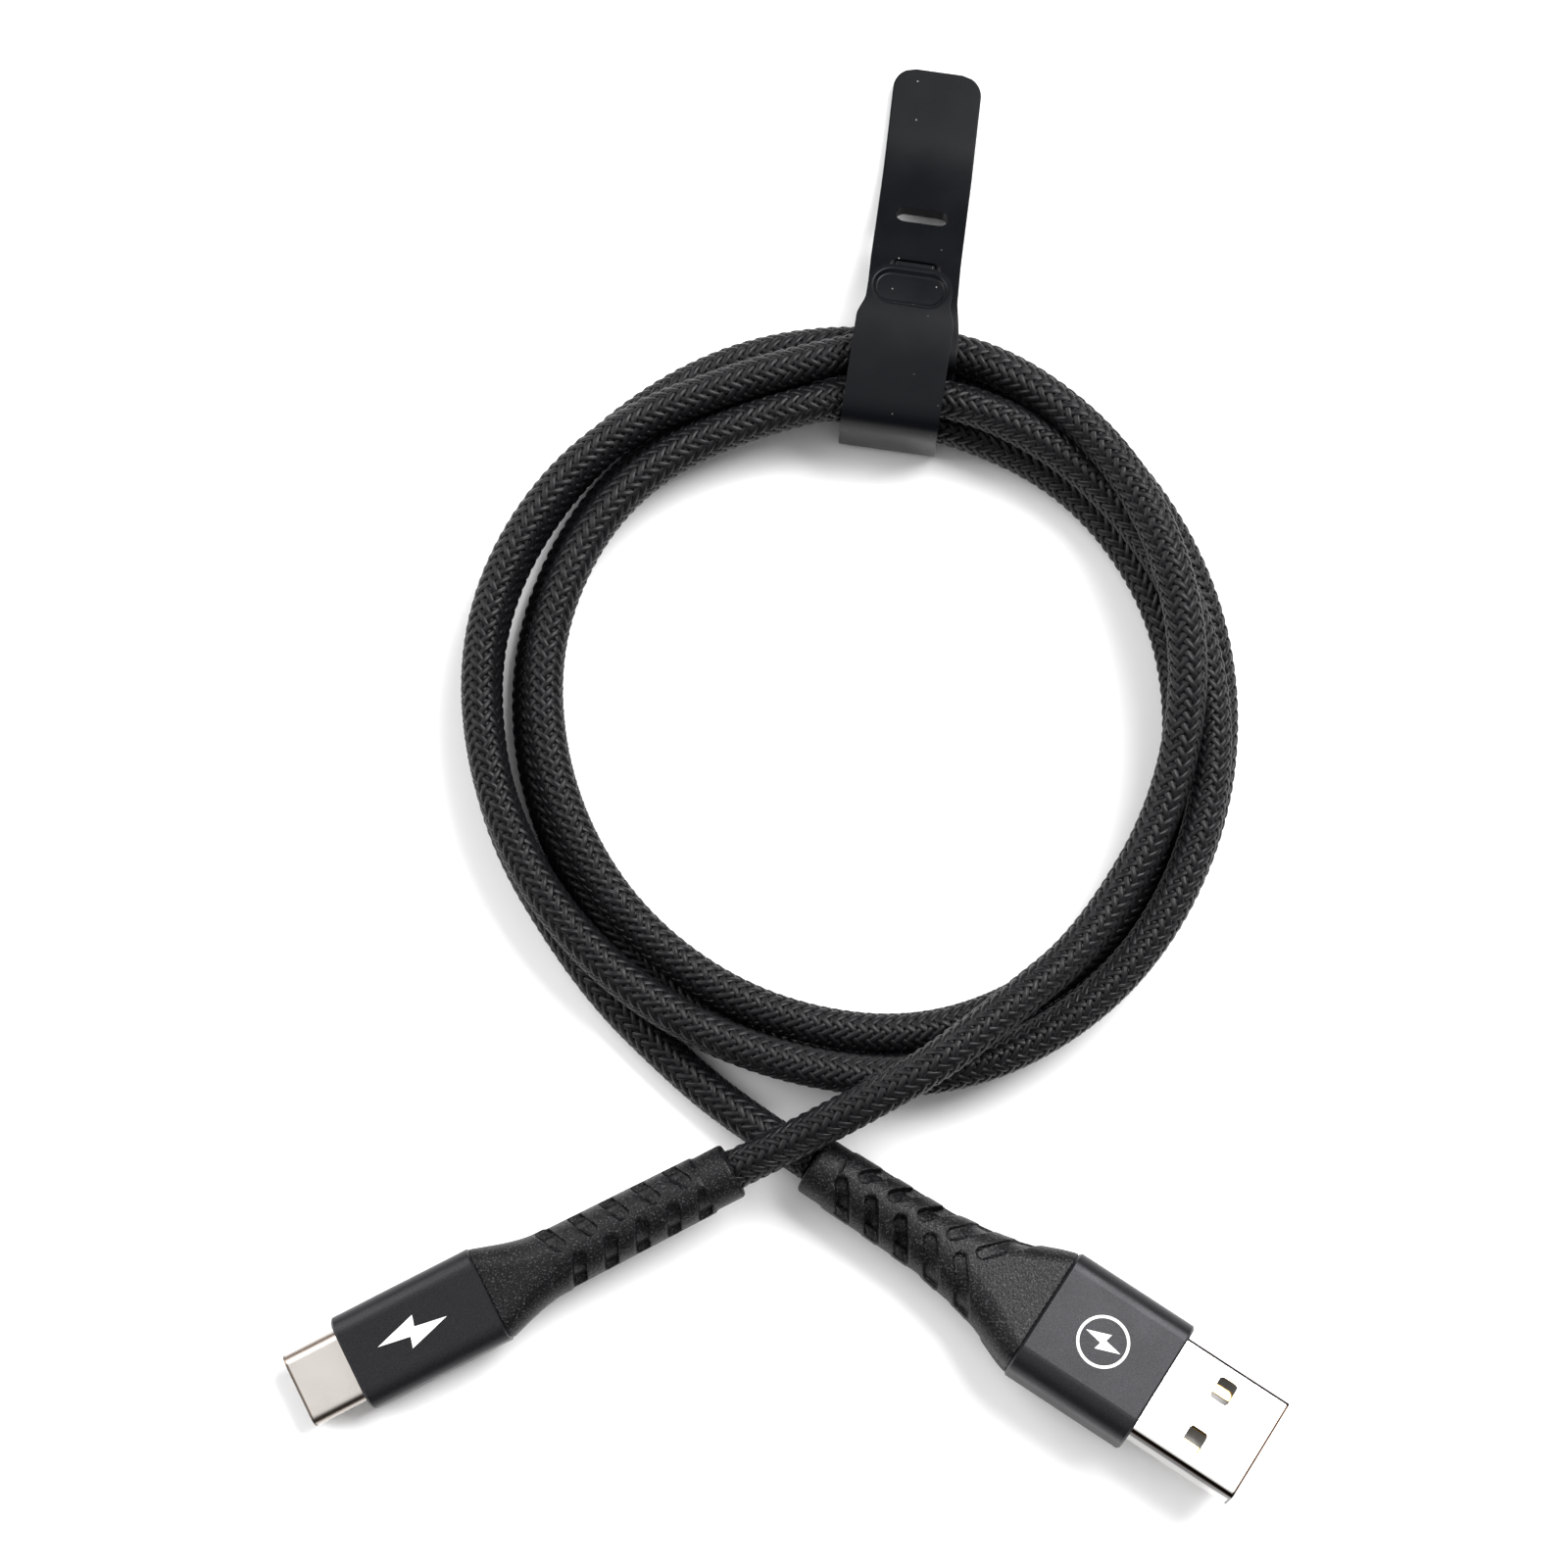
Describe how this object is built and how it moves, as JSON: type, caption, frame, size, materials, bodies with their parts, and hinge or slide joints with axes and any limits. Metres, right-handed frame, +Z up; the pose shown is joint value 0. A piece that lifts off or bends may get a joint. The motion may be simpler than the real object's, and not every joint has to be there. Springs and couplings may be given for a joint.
{
  "type": "charging cable",
  "caption": "Braided USB-A to USB-C charging cable, coiled in a ring and held by a buttoned silicone strap.",
  "frame": {"origin": "on the surface the cable lies on, under the middle of the box round the two plugs and the strap", "axes": "+Z up, +Y towards the free tip of the strap, +X to the right with the USB-A plug at the right"},
  "size_m": [0.1066, 0.1584, 0.0136],
  "materials": {
    "plated_shell": "bright nickel plate, mirror smooth",
    "steel_shell": "satin stainless steel, deep-drawn",
    "spring_steel": "plain",
    "gold_contact": "gold plated, bright",
    "black_anodised": "black anodised, fine bead-blasted satin",
    "insulator_plastic": "moulded black",
    "inner_plastic": "translucent white overmould",
    "soft_black": "soft-touch moulded elastomer, fine sparkled grain",
    "strap_silicone": "satin silicone rubber",
    "braid": "braided nylon, black",
    "board_green": "solder mask",
    "resistor_black": "glossy",
    "wire_red": "insulation",
    "wire_white": "insulation",
    "wire_green": "insulation",
    "wire_black": "insulation"
  },
  "bodies": {
    "root": {"cable_lead_a": "braid", "cable_lead_c": "braid", "cable_ring": "braid", "strap_band": "strap_silicone", "usb_a_cable_end": "braid", "usb_a_contacts": "gold_contact", "usb_a_crimp_ferrule": "spring_steel", "usb_a_housing": "black_anodised", "usb_a_inner_mould": "inner_plastic", "usb_a_insulator": "insulator_plastic", "usb_a_shell": "plated_shell", "usb_a_strain_relief": "soft_black", "usb_a_wire_black": "wire_black", "usb_a_wire_green": "wire_green", "usb_a_wire_red": "wire_red", "usb_a_wire_white": "wire_white", "usb_c_cable_end": "braid", "usb_c_circuit_board": "board_green", "usb_c_contacts_lower": "gold_contact", "usb_c_contacts_upper": "gold_contact", "usb_c_crimp_ferrule": "spring_steel", "usb_c_housing": "black_anodised", "usb_c_inner_mould": "inner_plastic", "usb_c_insulator": "insulator_plastic", "usb_c_resistor": "resistor_black", "usb_c_shell": "steel_shell", "usb_c_side_latches": "spring_steel", "usb_c_strain_relief": "soft_black", "usb_c_wire_black": "wire_black", "usb_c_wire_green": "wire_green", "usb_c_wire_red": "wire_red", "usb_c_wire_white": "wire_white"},
    "strap_tail_body": {"strap_tail": "strap_silicone"},
    "strap_flap_body": {"strap_button_flap": "strap_silicone"}
  },
  "joints": [
    {"name": "strap_tail_flex", "type": "hinge", "parent": "root", "child": "strap_tail_body", "pos_m": [0.01489, 0.05855, 0.00555], "axis": [0.9895, -0.1444, 0], "range_deg": [0, 60], "stiffness_Nm_per_rad": 0.0005},
    {"name": "button_flap_lift", "type": "hinge", "parent": "root", "child": "strap_flap_body", "pos_m": [0.01359, 0.04964, 0.01105], "axis": [0.9895, -0.1444, 0], "range_deg": [0, 60], "stiffness_Nm_per_rad": 0.0005}
  ]
}
